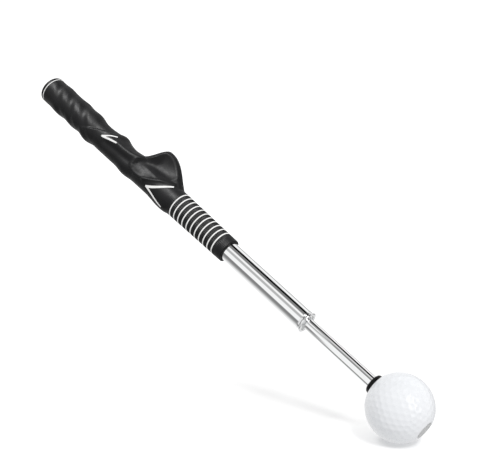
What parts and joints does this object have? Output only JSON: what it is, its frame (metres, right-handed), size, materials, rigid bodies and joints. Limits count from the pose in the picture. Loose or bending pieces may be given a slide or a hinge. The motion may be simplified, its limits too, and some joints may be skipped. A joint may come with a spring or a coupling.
{
  "type": "swing trainer stick",
  "caption": "Telescopic golf swing trainer: moulded training grip with a thumb rest, nested chrome tubes and a weighted dimpled ball head.",
  "frame": {"origin": "centre of the silver end disc's outer face, at the ball end of the stick", "axes": "+Z along the stick from the ball to the butt of the grip, +X towards the thumb rest of the grip"},
  "size_m": [0.0607, 0.057, 0.5006],
  "materials": {
    "grip_rubber": "matte moulded",
    "white_mark": "satin",
    "chrome_tube": "polished chrome plate on steel",
    "chrome_rod": "polished chrome plate on steel",
    "bush_plastic": "moulded",
    "bumper_rubber": "smooth",
    "plain_steel": "zinc plated",
    "ball_white": "clear coated",
    "core_rubber": "plain",
    "satin_disc": "satin"
  },
  "bodies": {
    "handle": {"grip_sleeve": "grip_rubber", "butt_cap": "grip_rubber", "butt_ring": "white_mark", "v_mark_small": "white_mark", "v_mark_large": "white_mark", "grip_rings": "white_mark", "outer_tube": "chrome_tube", "outer_ferrule": "chrome_tube", "outer_bush": "bush_plastic", "butt_plug": "bush_plastic", "buffer_pad": "bumper_rubber"},
    "middle_section": {"middle_tube": "chrome_tube", "middle_ferrule": "chrome_tube", "rod_bush": "bush_plastic", "middle_piston": "bush_plastic", "middle_spring": "plain_steel"},
    "rod_and_ball": {"rod": "chrome_rod", "rod_piston": "bush_plastic", "rod_spring": "plain_steel", "bumper": "bumper_rubber", "seat_ring": "ball_white", "ball_cover": "ball_white", "ball_core": "core_rubber", "ball_sleeve": "plain_steel", "rod_insert": "plain_steel", "lock_washer": "plain_steel", "end_screw": "plain_steel", "end_disc": "satin_disc"}
  },
  "joints": [
    {"name": "middle_slide", "type": "slide", "parent": "handle", "child": "middle_section", "axis": [0, 0, -1], "range_m": [0, 0.275]},
    {"name": "rod_slide", "type": "slide", "parent": "middle_section", "child": "rod_and_ball", "axis": [0, 0, -1], "range_m": [-0.0748, 0.2017]}
  ]
}
